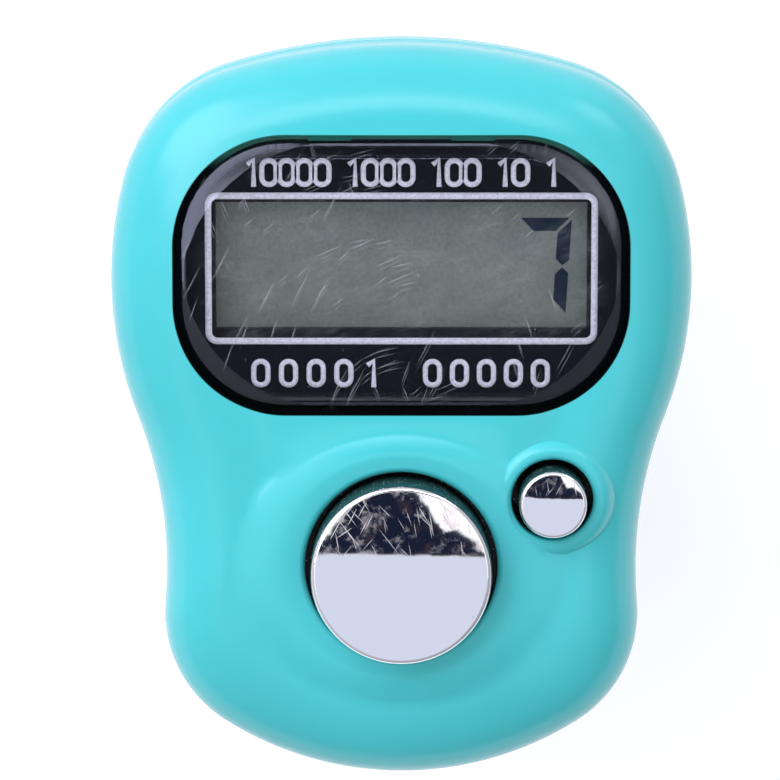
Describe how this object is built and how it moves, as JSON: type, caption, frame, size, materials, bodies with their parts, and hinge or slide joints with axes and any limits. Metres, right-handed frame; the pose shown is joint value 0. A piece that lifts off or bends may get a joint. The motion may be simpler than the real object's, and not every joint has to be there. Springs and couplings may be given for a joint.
{
  "type": "digital tally counter",
  "caption": "Finger-worn tally counter: waisted pebble case, liquid crystal display, large count button, small reset button and a strap with peg and holes.",
  "frame": {"origin": "on the flat underside of the finger strap, below the middle of the case", "axes": "+Z out of the face with the display and the buttons, +Y towards the display end, +X to the right as the display is read"},
  "size_m": [0.033, 0.042, 0.0322],
  "materials": {
    "teal_case": "glossy moulded plastic",
    "teal_strap": "soft flexible plastic",
    "clear_window": "clear moulded acrylic",
    "black_print": "black printing behind the window",
    "dark_frame": "dark moulded plastic",
    "display_film": "grey-green polariser film",
    "display_glass": "display glass",
    "foam": "foam",
    "conductive_rubber": "layered conductive rubber",
    "board": "green circuit board",
    "epoxy": "black epoxy",
    "ceramic": "ceramic chip parts",
    "chrome_button": "bright chrome plating",
    "switch_plastic": "black moulded plastic",
    "switch_metal": "thin spring steel",
    "cell_steel": "nickel-plated steel",
    "seal": "nylon seal",
    "contact_metal": "plated spring steel",
    "screw_steel": "plated steel"
  },
  "bodies": {
    "case": {"front_shell": "teal_case", "rear_shell": "teal_case", "strap_long": "teal_strap", "strap_short": "teal_strap", "display_window": "clear_window", "window_mask": "black_print", "lcd_frame": "dark_frame", "lcd_front_polariser": "display_film", "lcd_rear_polariser": "display_film", "lcd_front_glass": "display_glass", "lcd_rear_glass": "display_glass", "lcd_backing_pad": "foam", "zebra_strip": "conductive_rubber", "circuit_board": "board", "chip_blob": "epoxy", "chip_parts": "ceramic", "count_switch_base": "switch_plastic", "reset_switch_base": "switch_plastic", "count_switch_terminals": "switch_metal", "reset_switch_terminals": "switch_metal", "count_switch_dome": "switch_metal", "reset_switch_dome": "switch_metal", "count_switch_cover": "switch_metal", "reset_switch_cover": "switch_metal", "cell_can": "cell_steel", "cell_cap": "cell_steel", "cell_seal": "seal", "positive_clip": "contact_metal", "negative_contact": "contact_metal", "case_screws": "screw_steel", "board_screws": "screw_steel"},
    "count_button": {"count_button": "chrome_button"},
    "count_plunger": {"count_switch_plunger": "switch_plastic"},
    "reset_button": {"reset_button": "chrome_button"},
    "reset_plunger": {"reset_switch_plunger": "switch_plastic"}
  },
  "joints": [
    {"name": "count_press", "type": "slide", "parent": "case", "child": "count_button", "axis": [0, 0, 1], "range_m": [-0.00035, 0], "stiffness_N_per_m": 400, "springref_m": 0.0005},
    {"name": "count_plunger_slide", "type": "slide", "parent": "case", "child": "count_plunger", "axis": [0, 0, 1], "range_m": [-0.00035, 0], "deforming": ["count_switch_dome"]},
    {"name": "reset_press", "type": "slide", "parent": "case", "child": "reset_button", "axis": [0, 0, 1], "range_m": [-0.0003, 0], "stiffness_N_per_m": 400, "springref_m": 0.0005},
    {"name": "reset_plunger_slide", "type": "slide", "parent": "case", "child": "reset_plunger", "axis": [0, 0, 1], "range_m": [-0.0003, 0], "deforming": ["reset_switch_dome"]}
  ],
  "couplings": [
    {"joint": "count_plunger_slide", "follows": "count_press", "ratio": 1},
    {"joint": "reset_plunger_slide", "follows": "reset_press", "ratio": 1}
  ]
}
